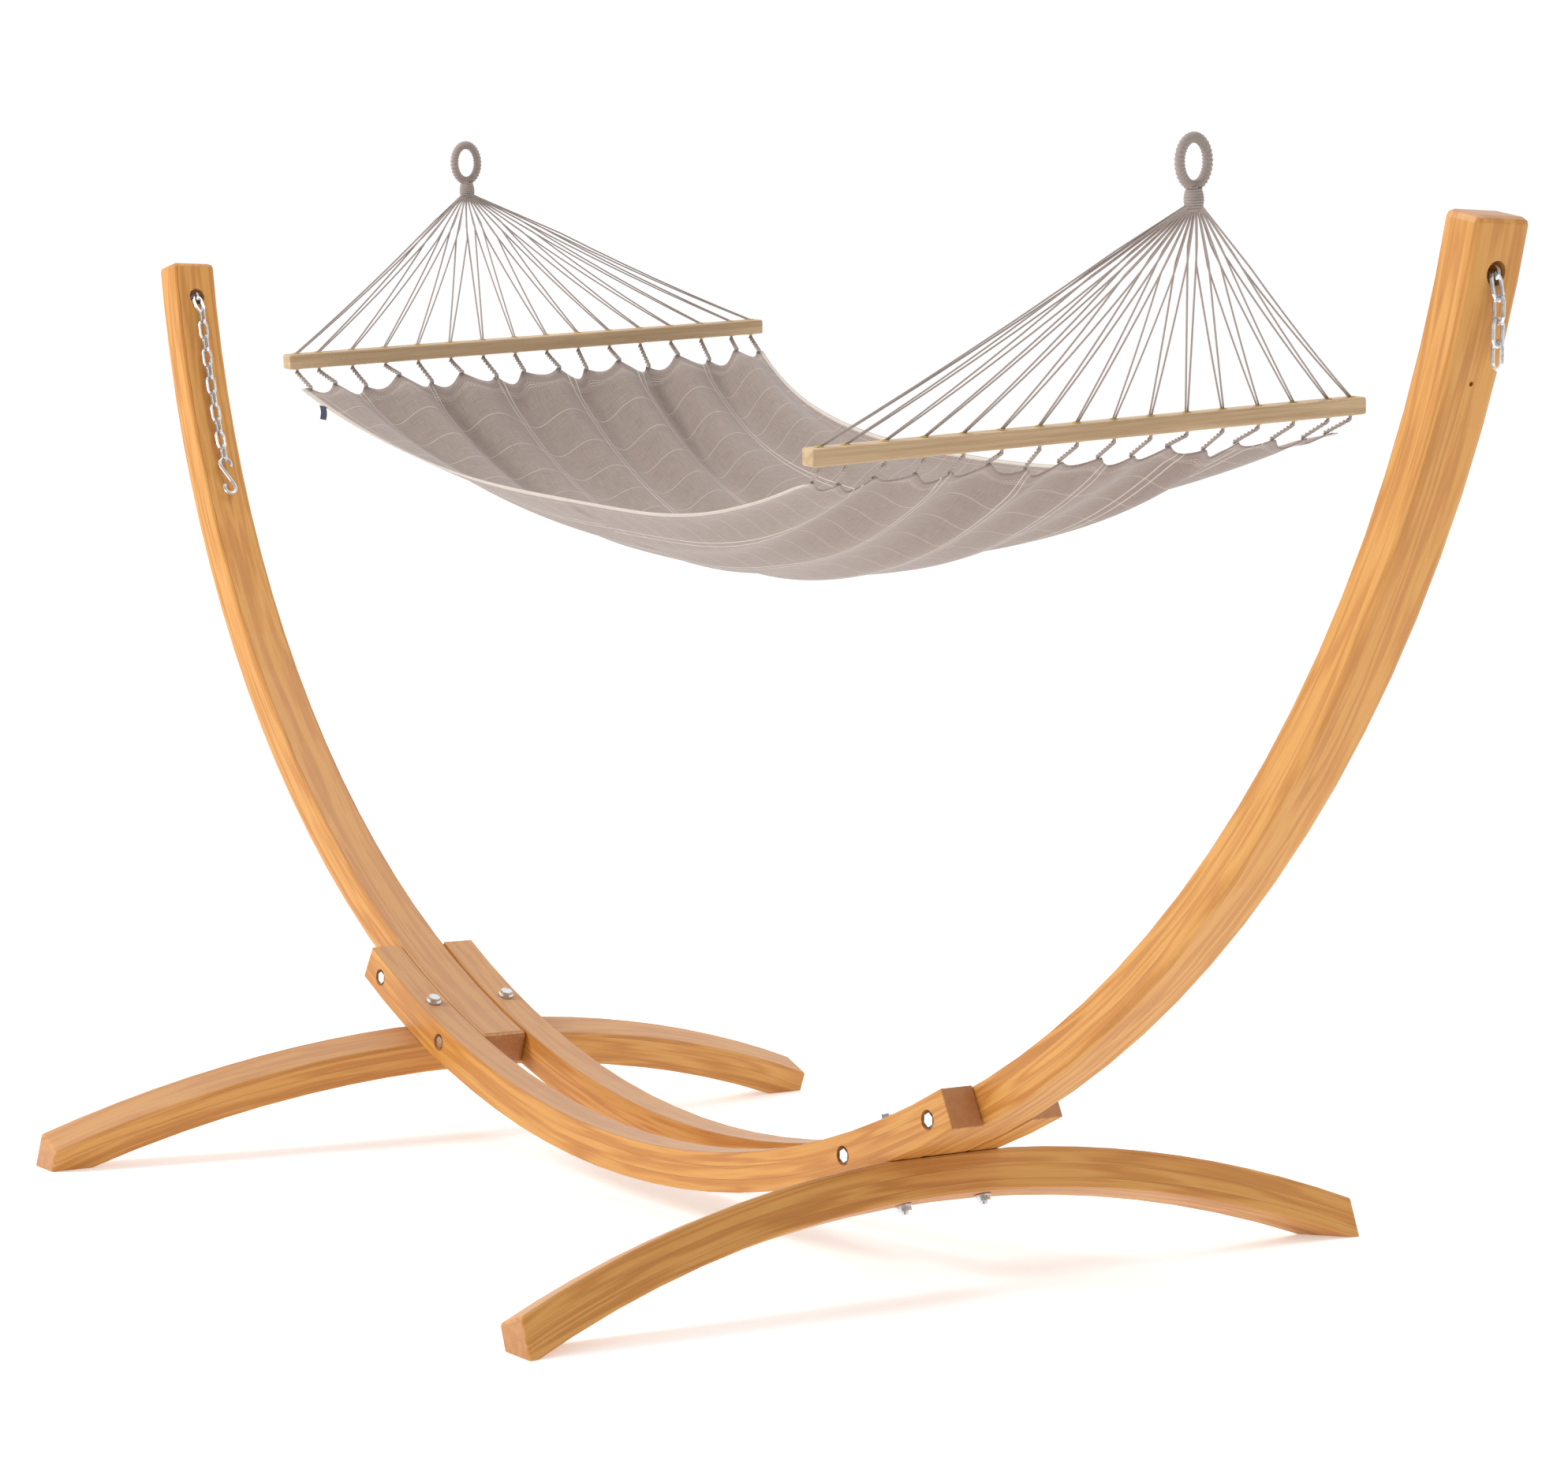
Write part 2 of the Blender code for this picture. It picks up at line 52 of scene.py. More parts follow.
# The hammock's own level frame, as in the frame
HANG_PLACE = Vector((0.200, 0.020, 1.181))
HANG_ROLL = 5.0
HANG_PITCH = 4.2
HANG_YAW = -5.0
BAR_X = 0.763
BAR_HEIGHT = 0.022
BAR_HOLES = 16
HOLE_STEP = 0.0549
END_STEP_SHARE = 0.65
LOOP_X = 0.967
LOOP_HEIGHTS = {"far": 0.225, "near": 0.285}
LOOP_WIRE = 0.0065
LOOP_HALF = (0.020, 0.028)
LOOP_LIFT = 0.0178
CLOTH_HALF_LENGTH = 0.735
CLOTH_HALF_WIDTH = 0.395
CLOTH_WAIST = 0.055
CLOTH_TOP = 0.038
HEM_SAG = 0.095
TROUGH_SAG = 0.128
SAG_POWERS = (3.0, 2.2)

# Camera, placed so that the stand stands in the frame as in the photograph
CAMERA_PLACE = Vector((4.679, -3.131, 1.160))
CAMERA_TURN = 54.73
CAMERA_RISE = 4.88
CAMERA_ROLL = 0.85
CAMERA_LENS = 90.5
SENSOR = 36.0


def turned(degrees, axis):
    return Matrix.Rotation(math.radians(degrees), 4, axis)


HANG = (Matrix.Translation(HANG_PLACE) @ turned(HANG_YAW, "Z") @ turned(HANG_ROLL, "X")
        @ turned(HANG_PITCH, "Y"))


def make_camera():
    turn = math.radians(CAMERA_TURN)
    rise = math.radians(CAMERA_RISE)
    back = Vector((math.sin(turn) * math.cos(rise), -math.cos(turn) * math.cos(rise), math.sin(rise)))
    right = Vector((math.cos(turn), math.sin(turn), 0.0))
    above = back.cross(right)
    matrix = Matrix((right, above, back)).transposed().to_4x4()
    camera = bpy.data.objects.new("camera", bpy.data.cameras.new("camera"))
    camera.data.lens = CAMERA_LENS
    camera.data.sensor_width = SENSOR
    camera.data.clip_end = 100.0
    camera.matrix_world = Matrix.Translation(CAMERA_PLACE) @ matrix @ turned(CAMERA_ROLL, "Z")
    bpy.context.scene.collection.objects.link(camera)
    bpy.context.scene.camera = camera


# ---------------------------------------------------------------- material helpers

class Nodes:
    """A material's node tree with short calls for the nodes used here."""

    def __init__(self, name):
        self.material = bpy.data.materials.new(name)
        self.material.use_nodes = True
        self.tree = self.material.node_tree
        self.shader = self.tree.nodes["Principled BSDF"]

    @classmethod
    def wrap(cls, tree):
        nodes = cls.__new__(cls)
        nodes.tree = tree
        return nodes

    def put(self, socket, value):
        if isinstance(value, bpy.types.NodeSocket):
            self.tree.links.new(value, socket)
        else:
            socket.default_value = value

    def math(self, operation, first, second=0.0, third=0.0, clamp=False):
        node = self.tree.nodes.new("ShaderNodeMath")
        node.operation = operation
        node.use_clamp = clamp
        for socket, value in zip(node.inputs, (first, second, third)):
            self.put(socket, value)
        return node.outputs[0]

    def vector(self, operation, first, second):
        node = self.tree.nodes.new("ShaderNodeVectorMath")
        node.operation = operation
        self.put(node.inputs[0], first)
        self.put(node.inputs[1], second)
        return node.outputs["Value" if operation == "DOT_PRODUCT" else "Vector"]

    def join(self, x, y, z):
        node = self.tree.nodes.new("ShaderNodeCombineXYZ")
        for socket, value in zip(node.inputs, (x, y, z)):
            self.put(socket, value)
        return node.outputs[0]

    def split(self, vector):
        node = self.tree.nodes.new("ShaderNodeSeparateXYZ")
        self.put(node.inputs[0], vector)
        return node.outputs

    def coordinate(self, kind):
        return self.tree.nodes.new("ShaderNodeTexCoord").outputs[kind]

    def noise(self, vector, scale, detail=2.0, roughness=0.5, distortion=0.0):
        node = self.tree.nodes.new("ShaderNodeTexNoise")
        self.put(node.inputs["Vector"], vector)
        node.inputs["Scale"].default_value = scale
        node.inputs["Detail"].default_value = detail
        node.inputs["Roughness"].default_value = roughness
        node.inputs["Distortion"].default_value = distortion
        return node.outputs[0]

    def ramp(self, factor, stops):
        node = self.tree.nodes.new("ShaderNodeValToRGB")
        elements = node.color_ramp.elements
        while len(elements) < len(stops):
            elements.new(0.5)
        for element, (place, colour) in zip(elements, stops):
            element.position = place
            element.color = (*colour, 1.0)
        self.put(node.inputs[0], factor)
        return node.outputs[0]

    def mix(self, factor, first, second, blend="MIX"):
        node = self.tree.nodes.new("ShaderNodeMix")
        node.data_type = "RGBA"
        node.blend_type = blend
        self.put(node.inputs[0], factor)
        for socket, value in ((node.inputs[6], first), (node.inputs[7], second)):
            self.put(socket, (*value, 1.0) if isinstance(value, tuple) else value)
        return node.outputs[2]

    def bump(self, height, strength, distance):
        node = self.tree.nodes.new("ShaderNodeBump")
        node.inputs["Strength"].default_value = strength
        node.inputs["Distance"].default_value = distance
        self.put(node.inputs["Height"], height)
        self.put(self.shader.inputs["Normal"], node.outputs[0])


# ---------------------------------------------------------------- timber

LARCH_DARK = (0.36, 0.115, 0.016)
LARCH_MID = (0.52, 0.205, 0.034)
LARCH_LIGHT = (0.64, 0.315, 0.075)
# Paler, greyer colour painted onto upward faces: a painted highlight from above
LARCH_PAINTED_TOP_LIGHT = (0.56, 0.33, 0.20)
LARCH_END = (0.42, 0.185, 0.085)
KNOT_COLOUR = (0.16, 0.055, 0.018)
GLUE_COLOUR = (0.20, 0.075, 0.02)
GLUE_LINE_SHARE = 0.035
LAYER_SHIFT = 7.31
DRIFT_ALONG = 1.6
DRIFT_ACROSS = 26.0
RING_DRIFT = 46.0
RINGS_PER_METRE = 90.0
FIBRE_ALONG = 9.0
FIBRE_ACROSS = 420.0
BOARDS_PER_METRE = 0.9
KNOT_SQUEEZE = 2.1
KNOT_SCALE = 4.2
KNOT_SIZE = 0.035
BEAM_Y_SHIFTS = {"front_rail": 0.31, "back_rail": 1.27, "far_arm": 2.43, "near_arm": 3.61}


def paint_timber(nodes, along, across, through, end_factor):
    """Laminated larch: growth lines, late-wood streaks, knots and glue lines along the grain."""
    depth = nodes.math("DIVIDE", through, LAMELLA)
    layer = nodes.math("FLOOR", depth)
    within = nodes.math("FRACT", depth)
    shift = nodes.math("MULTIPLY", layer, LAYER_SHIFT)
    stretch = nodes.join(nodes.math("MULTIPLY_ADD", along, DRIFT_ALONG, shift),
                         nodes.math("MULTIPLY", across, DRIFT_ACROSS),
                         nodes.math("MULTIPLY_ADD", through, DRIFT_ACROSS, shift))
    drift = nodes.noise(stretch, 0.9, 3.0, 0.55)
    phase = nodes.math("MULTIPLY_ADD", drift, RING_DRIFT, nodes.math("MULTIPLY", across, RINGS_PER_METRE))
    rings = nodes.math("SINE", phase)
    rings = nodes.math("MULTIPLY_ADD", rings, 0.5, 0.5)
    fibres = nodes.join(nodes.math("MULTIPLY", along, FIBRE_ALONG),
                        nodes.math("MULTIPLY", across, FIBRE_ACROSS),
                        nodes.math("MULTIPLY", through, FIBRE_ACROSS))
    fine = nodes.noise(fibres, 1.0, 4.0, 0.65)
    tone = nodes.math("MULTIPLY_ADD", rings, 0.42, nodes.math("MULTIPLY", fine, 0.45))
    tone = nodes.math("MULTIPLY_ADD", drift, 0.25, tone)
    colour = nodes.ramp(tone, ((0.18, LARCH_DARK), (0.48, LARCH_MID), (0.85, LARCH_LIGHT)))
    board = nodes.math("FLOOR", nodes.math("MULTIPLY", along, BOARDS_PER_METRE))
    plank = nodes.noise(nodes.join(layer, board, 0.37), 3.7)
    colour = nodes.mix(nodes.math("MULTIPLY", plank, 0.45, clamp=True), colour, LARCH_LIGHT)
    cells = nodes.tree.nodes.new("ShaderNodeTexVoronoi")
    spread = nodes.math("MULTIPLY", across, KNOT_SQUEEZE)
    nodes.put(cells.inputs["Vector"], nodes.join(along, spread, shift))
    cells.inputs["Scale"].default_value = KNOT_SCALE
    knot = nodes.math("DIVIDE", cells.outputs["Distance"], KNOT_SIZE)
    knot = nodes.math("SUBTRACT", 1.0, knot, clamp=True)
    colour = nodes.mix(nodes.math("MULTIPLY", knot, 0.8), colour, KNOT_COLOUR)
    line = nodes.math("COMPARE", within, 0.0, GLUE_LINE_SHARE)
    colour = nodes.mix(nodes.math("MULTIPLY", line, 0.5), colour, GLUE_COLOUR)
    # Painted light: faces that look upward are mixed toward a paler colour, as if lit from above
    upward = nodes.split(nodes.tree.nodes.new("ShaderNodeNewGeometry").outputs["Normal"])[2]
    painted_top_light_mask = nodes.math("SUBTRACT", upward, 0.55, clamp=True)
    painted_top_light_mask = nodes.math("MULTIPLY", painted_top_light_mask, 1.3, clamp=True)
    colour = nodes.mix(painted_top_light_mask, colour, LARCH_PAINTED_TOP_LIGHT)
    colour = nodes.mix(end_factor, colour, LARCH_END)
    nodes.put(nodes.shader.inputs["Base Color"], colour)
    nodes.put(nodes.shader.inputs["Roughness"], nodes.math("MULTIPLY_ADD", fine, 0.18, 0.36))
    nodes.shader.inputs["Specular IOR Level"].default_value = 0.45
    nodes.bump(nodes.math("MULTIPLY_ADD", rings, 0.4, fine), 0.25, 0.0004)


def timber_material(name, centre, out_axis, low_axis, side_axis):
    """Larch bent about a centre: grain runs round it, laminations lie at equal radii."""
    nodes = Nodes(name)
    place = nodes.vector("SUBTRACT", nodes.coordinate("Object"), tuple(centre))
    out = nodes.vector("DOT_PRODUCT", place, tuple(out_axis))
    low = nodes.vector("DOT_PRODUCT", place, tuple(low_axis))
    across = nodes.vector("DOT_PRODUCT", place, tuple(side_axis))
    turn = nodes.math("ARCTAN2", out, low)
    radius = nodes.math("SQRT", nodes.math("ADD", nodes.math("MULTIPLY", out, out),
                                           nodes.math("MULTIPLY", low, low)))
    along = nodes.math("MULTIPLY", turn, ARC_RADIUS)
    normal = nodes.tree.nodes.new("ShaderNodeNewGeometry").outputs["Normal"]
    facing = nodes.math("ADD",
                        nodes.math("MULTIPLY", nodes.vector("DOT_PRODUCT", normal, tuple(out_axis)),
                                   nodes.math("COSINE", turn)),
                        nodes.math("MULTIPLY", nodes.vector("DOT_PRODUCT", normal, tuple(low_axis)),
                                   nodes.math("MULTIPLY", nodes.math("SINE", turn), -1.0)))
    end = nodes.math("SUBTRACT", nodes.math("ABSOLUTE", facing), 0.72)
    end = nodes.math("MULTIPLY", end, 3.4, clamp=True)
    through = nodes.math("SUBTRACT", radius, ARC_RADIUS - BEAM_DEPTH / 2)
    paint_timber(nodes, along, across, through, nodes.math("MULTIPLY", end, 0.8))
    return nodes.material


def repaint(node, material):
    """Gives a carried-over CAD node a better material."""
    piece = NODES[node]
    for slot in piece.material_slots:
        slot.material = material
    if not piece.material_slots:
        piece.data.materials.append(material)


def paint_stand():
    arc_centre = Vector((0.0, 0.0, ARC_CENTRE_Z))
    for node, offset in BEAM_Y_SHIFTS.items():
        centre = arc_centre + ACROSS * offset
        repaint(node, timber_material(node + "_larch", centre, Vector((1, 0, 0)), -UP, ACROSS))
    for label, side in SIDES.items():
        turn = math.radians(FOOT_ANGLE)
        inward = Vector((-side * math.sin(turn), 0.0, math.cos(turn)))
        along = Vector((side * math.cos(turn), 0.0, math.sin(turn)))
        seat = arc_centre - inward * (ARC_RADIUS + BEAM_DEPTH / 2)
        centre = seat - inward * FOOT_RADIUS
        material = timber_material(label + "_foot_larch", centre, ACROSS, inward, along)
        repaint(label + "_foot", material)


def straight_wood(name, dark, light, axis_matrix):
    """Plain sawn wood with its grain along the local Y axis of a placing matrix."""
    nodes = Nodes(name)
    place = nodes.coordinate("Object")
    axes = [tuple(axis_matrix.col[index].xyz) for index in range(3)]
    x, y, z = (nodes.vector("DOT_PRODUCT", place, axis) for axis in axes)
    grain = nodes.join(nodes.math("MULTIPLY", x, 90.0), nodes.math("MULTIPLY", y, 3.0),
                       nodes.math("MULTIPLY", z, 90.0))
    broad = nodes.noise(grain, 1.0, 3.0, 0.6, 0.4)
    fine = nodes.noise(grain, 6.0, 3.0, 0.7)
    tone = nodes.math("MULTIPLY_ADD", broad, 0.7, nodes.math("MULTIPLY", fine, 0.3))
    nodes.put(nodes.shader.inputs["Base Color"], nodes.ramp(tone, ((0.32, dark), (0.66, light))))
    nodes.put(nodes.shader.inputs["Roughness"], nodes.math("MULTIPLY_ADD", fine, 0.15, 0.48))
    nodes.bump(fine, 0.2, 0.0003)
    return nodes.material


def steel_material():
    nodes = Nodes("bright_zinc")
    place = nodes.coordinate("Object")
    blotch = nodes.noise(place, 160.0, 3.0, 0.6)
    nodes.put(nodes.shader.inputs["Base Color"],
              nodes.ramp(blotch, ((0.3, (0.60, 0.62, 0.64)), (0.7, (0.86, 0.87, 0.88)))))
    nodes.shader.inputs["Metallic"].default_value = 1.0
    nodes.put(nodes.shader.inputs["Roughness"], nodes.math("MULTIPLY_ADD", blotch, 0.22, 0.14))
    nodes.bump(nodes.noise(place, 700.0, 2.0), 0.12, 0.0002)
    return nodes.material


def paint_steel():
    steel = steel_material()
    for node, piece in NODES.items():
        if any(word in node for word in ("bolt", "nut", "link", "hook", "pin")):
            repaint(node, steel)


# ---------------------------------------------------------------- cords

def cord_material(name, low, high, pitch):
    """Laid cord: fine diagonal strands and a little fibre mottling."""
    nodes = Nodes(name)
    place = nodes.coordinate("Object")
    x, y, z = nodes.split(place)
    lean = nodes.math("ADD", nodes.math("ADD", x, y), nodes.math("MULTIPLY", z, 1.7))
    lay = nodes.math("SINE", nodes.math("MULTIPLY", lean, math.tau / pitch))
    lay = nodes.math("MULTIPLY_ADD", lay, 0.5, 0.5)
    fibre = nodes.noise(place, 900.0, 2.0)
    tone = nodes.math("MULTIPLY_ADD", lay, 0.6, nodes.math("MULTIPLY", fibre, 0.4))
    nodes.put(nodes.shader.inputs["Base Color"], nodes.ramp(tone, ((0.15, low), (0.8, high))))
    nodes.shader.inputs["Roughness"].default_value = 0.85
    nodes.shader.inputs["Sheen Weight"].default_value = 0.2
    nodes.bump(tone, 0.5, 0.0005)
    return nodes.material


CORD_LOW = (0.20, 0.158, 0.138)
CORD_HIGH = (0.46, 0.385, 0.35)
FAN_CORD_RADIUS = 0.00125
ROPE_RADIUS = 0.0017
PAIR_GAP = 0.0016
PAIR_LAY = 4.5
ROPE_SWING = 0.0019
TIE_STEPS = 26
TIE_BAR_SHARE = 0.25
WHIPPING_TURNS = 9
WHIPPING_STEPS = 14
WHIPPING_RADIUS = 0.0075
WHIPPING_BULGE = 0.0030
WHIPPING_WIRE = 0.0019
WHIPPING_DROP = 0.012
WHIPPING_RISE = 0.028
LOOP_RINGS = 216
LOOP_SIDES = 16
LOOP_RIDGES = 36.0
LOOP_RIDGE_SHARE = 0.10
HOLE_RING_RADIUS = 0.0046
HOLE_RING_WIRE = 0.0011
HOLE_RING_LIFT = 0.0004
HOLE_RING_STEPS = 14


def bar_hole_stations():
    inner = [HOLE_STEP * (step - (BAR_HOLES - 3) / 2) for step in range(BAR_HOLES - 2)]
    edge = inner[-1] + HOLE_STEP * END_STEP_SHARE
    return [-edge] + inner + [edge]


def add_mesh(name, mesh, material, body="hammock"):
    piece = bpy.data.objects.new(name, mesh)
    mesh.materials.append(material)
    bpy.context.scene.collection.objects.link(piece)
    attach(piece, body)
    return piece


def tubes(name, paths, radius, material, cyclic=False, level=2):
    """Round tubes along paths, as one mesh."""
    curve = bpy.data.curves.new(name, "CURVE")
    curve.dimensions = "3D"
    curve.bevel_depth = radius
    curve.bevel_resolution = level
    curve.use_fill_caps = not cyclic
    for path in paths:
        spline = curve.splines.new("POLY")
        spline.points.add(len(path) - 1)
        for slot, point in zip(spline.points, path):
            slot.co = (*point, 1.0)
        spline.use_cyclic_u = cyclic
    holder = bpy.data.objects.new(name + "_curve", curve)
    bpy.context.scene.collection.objects.link(holder)
    graph = bpy.context.evaluated_depsgraph_get()
    mesh = bpy.data.meshes.new_from_object(holder.evaluated_get(graph))
    bpy.data.objects.remove(holder)
    mesh.name = name
    mesh.shade_smooth()
    return add_mesh(name, mesh, material)


def eased(first, last, steps, sag=0.0):
    """Points from first to last with a slight sag."""
    points = []
    for step in range(steps + 1):
        share = step / steps
        points.append(first.lerp(last, share) - UP * sag * 4.0 * share * (1.0 - share))
    return points


def make_fan(label, side, material):
    """Two cords from each hole of the bar; neighbours cross in a net just below the knot."""
    knot = Vector((side * LOOP_X, 0.0, LOOP_HEIGHTS[label]))
    stations = bar_hole_stations()
    paths = []
    for number, y in enumerate(stations):
        for hand in (-1, 1):
            mate = min(max(number + hand, 0), BAR_HOLES - 1)
            middle_y = (y + stations[mate]) / 2 + (hand * 0.012 if mate == number else 0.0)
            foot = Vector((side * BAR_X, y + hand * PAIR_GAP, BAR_HEIGHT / 2))
            share = 0.74 + 0.06 * math.cos(number * 1.9)
            cross = Vector((side * BAR_X, middle_y, BAR_HEIGHT / 2)).lerp(knot, share)
            cross.x += hand * PAIR_GAP
            top = knot + Vector((hand * 0.004, y * 0.022 + hand * -0.002, -0.004))
            path = eased(foot, cross, 6, 0.004) + eased(cross, top, 3)[1:]
            paths.append([HANG @ point for point in path])
    return tubes(label + "_fan_cords", paths, FAN_CORD_RADIUS, material, level=1)


def make_ties(label, side, material):
    """Short laid ropes from under the bar to the cloth's scalloped edge, two strands at each hole."""
    paths = []
    for number, y in enumerate(bar_hole_stations()):
        top = Vector((side * BAR_X, y, BAR_HEIGHT / 2 - 0.004))
        under = Vector((side * BAR_X, y, -BAR_HEIGHT / 2 - 0.006))
        edge = cloth_edge(side, number) + Vector((-side * 0.010, 0.0, 0.0))
        for strand in (0.0, math.pi):
            path = []
            for step in range(TIE_STEPS + 1):
                share = step / TIE_STEPS
                if share < TIE_BAR_SHARE:
                    middle = top.lerp(under, share / TIE_BAR_SHARE)
                else:
                    middle = under.lerp(edge, (share - TIE_BAR_SHARE) / (1.0 - TIE_BAR_SHARE))
                turn = strand + share * math.tau * PAIR_LAY
                swing = ROPE_SWING * min(1.0, share * 6)
                sideways = math.cos(turn) * swing
                offset = Vector((sideways * 0.6, math.sin(turn) * swing, sideways))
                path.append(HANG @ (middle + offset))
            paths.append(path)
    return tubes(label + "_tie_ropes", paths, ROPE_RADIUS, material, level=1)


def make_knot(label, side, material):
    """Whipping round the gathered cords under the loop: a short tapering stack of turns."""
    base = Vector((side * LOOP_X, 0.0, LOOP_HEIGHTS[label]))
    path = []
    steps = WHIPPING_TURNS * WHIPPING_STEPS
    for step in range(steps + 1):
        share = step / steps
        angle = share * WHIPPING_TURNS * math.tau
        radius = WHIPPING_RADIUS + WHIPPING_BULGE * math.sin(share * math.pi)
        height = share * WHIPPING_RISE - WHIPPING_DROP
        turn = Vector((math.cos(angle) * radius, math.sin(angle) * radius, height))
        path.append(HANG @ (base + turn))
    return tubes(label + "_whipping", [path], WHIPPING_WIRE, material, level=1)


def make_loop(label, side, material):
    """The eye: a ring of cord served all round with close turns."""
    half_width, half_height = LOOP_HALF
    centre = Vector((side * LOOP_X, 0.0, LOOP_HEIGHTS[label] + LOOP_LIFT + half_height))
    shape = bmesh.new()
    grid = []
    for step in range(LOOP_RINGS):
        turn = step / LOOP_RINGS * math.tau
        middle = Vector((0.0, half_width * math.cos(turn), half_height * math.sin(turn)))
        outward = Vector((0.0, math.cos(turn), math.sin(turn)))
        row = []
        for corner in range(LOOP_SIDES):
            roll = corner / LOOP_SIDES * math.tau
            ridge = 1.0 + LOOP_RIDGE_SHARE * math.sin(turn * LOOP_RIDGES + roll)
            radius = LOOP_WIRE * 0.93 * ridge
            spot = middle + outward * math.cos(roll) * radius + Vector((math.sin(roll) * radius, 0.0, 0.0))
            row.append(shape.verts.new(HANG @ (centre + spot)))
        grid.append(row)
    for step in range(LOOP_RINGS):
        for corner in range(LOOP_SIDES):
            following = (step + 1) % LOOP_RINGS
            beside = (corner + 1) % LOOP_SIDES
            shape.faces.new((grid[step][corner], grid[following][corner], grid[following][beside],
                             grid[step][beside]))
    bmesh.ops.recalc_face_normals(shape, faces=shape.faces)
    mesh = bpy.data.meshes.new(label + "_served_loop")
    shape.to_mesh(mesh)
    shape.free()
    mesh.shade_smooth()
    return add_mesh(label + "_served_loop", mesh, material)


def make_hole_rings(label, side, material):
    """A small ring at each mouth of the bar's holes."""
    paths = []
    for y in bar_hole_stations():
        for level in (BAR_HEIGHT / 2 + HOLE_RING_LIFT, -BAR_HEIGHT / 2 - HOLE_RING_LIFT):
            path = []
            for step in range(HOLE_RING_STEPS):
                turn = step / HOLE_RING_STEPS * math.tau
                path.append(HANG @ Vector((side * BAR_X + math.cos(turn) * HOLE_RING_RADIUS,
                                           y + math.sin(turn) * HOLE_RING_RADIUS, level)))
            paths.append(path)
    return tubes(label + "_hole_rings", paths, HOLE_RING_WIRE, material, cyclic=True, level=1)


def make_cords():
    cord = cord_material("taupe_laid_cord", CORD_LOW, CORD_HIGH, 0.0035)
    served = cord_material("taupe_served_cord", CORD_LOW, CORD_HIGH, 0.0024)
    brass = Nodes("ring_yellow")
    tint = brass.noise(brass.coordinate("Object"), 400.0, 2.0)
    brass.put(brass.shader.inputs["Base Color"],
              brass.ramp(tint, ((0.3, (0.42, 0.26, 0.05)), (0.7, (0.70, 0.50, 0.14)))))
    brass.shader.inputs["Roughness"].default_value = 0.5
    for label, side in SIDES.items():
        fan = make_fan(label, side, cord)
        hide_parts(label + "_cords")
        loop = make_loop(label, side, served)
        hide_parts(label + "_loop")
        for piece in (fan, loop, make_ties(label, side, cord), make_knot(label, side, served)):
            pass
        make_hole_rings(label, side, brass.material)


# ---------------------------------------------------------------- cloth

WEAVE_FREQUENCY = 5200.0
STITCH_FREQUENCY = 1500.0
PLAID_SPACING_ACROSS = 0.118
PLAID_SPACING_ALONG = 0.062
SLUB_FINE = 900.0
SLUB_LONG = 40.0
TIE_SPREAD = 0.975
CLOTH_THICKNESS = 0.0016
CLOTH_ROWS = 170
CLOTH_COLUMNS = 224
SCALLOP = 0.020
FOLD_HEIGHT = 0.022
HEM_BAND = 0.018


def smooth(value):
    value = min(max(value, 0.0), 1.0)
    return value * value * (3.0 - 2.0 * value)


def tie_wave(share_y):
    """0 at the ties, 1 midway between them."""
    stations = [y / CLOTH_HALF_WIDTH * TIE_SPREAD for y in bar_hole_stations()]
    for low, high in zip(stations, stations[1:]):
        if low <= share_y <= high:
            return math.sin((share_y - low) / (high - low) * math.pi)
    return 0.0


def cloth_point(share_x, share_y):
    """The sagging bed, gathered into scallops and lengthwise folds at its two ends."""
    sag = 1.0 - abs(share_x) ** SAG_POWERS[share_x > 0.0]
    half_width = CLOTH_HALF_WIDTH - CLOTH_WAIST * sag
    depth = CLOTH_TOP + sag * (HEM_SAG + TROUGH_SAG * (1.0 - share_y ** 2))
    end = smooth((abs(share_x) - 0.20) / 0.75) * (1.0 if share_x < 0.0 else 0.6)
    tight = smooth((abs(share_x) - 0.93) / 0.07)
    bay = tie_wave(share_y)
    x = share_x * (CLOTH_HALF_LENGTH - SCALLOP * bay * tight)
    lane = share_y * (7.0 if share_x < 0 else 6.4) + 0.35 * math.sin(share_x * 3.1 + share_y * 2.0)
    fold = math.cos(lane * math.pi) * (0.16 + 0.84 * end) * (1.0 - tight * 0.6)
    fold *= 0.7 + 0.5 * noise.noise(Vector((share_y * 3.0, math.copysign(4.0, share_x), share_x)))
    soft = noise.noise(Vector((share_x * 2.6, share_y * 2.4, 1.7)))
    flatten = 1.0 - smooth((abs(share_y) - 0.90) / 0.10)
    rise = FOLD_HEIGHT * fold * (0.3 + 0.7 * flatten) + 0.005 * soft - 0.012 * bay * tight
    y = share_y * half_width + 0.004 * math.sin(lane * math.pi) * end
    return Vector((x, y, -depth + rise))


def cloth_edge(side, number):
    share = bar_hole_stations()[number] / CLOTH_HALF_WIDTH * TIE_SPREAD
    return cloth_point(side * 0.999, share)


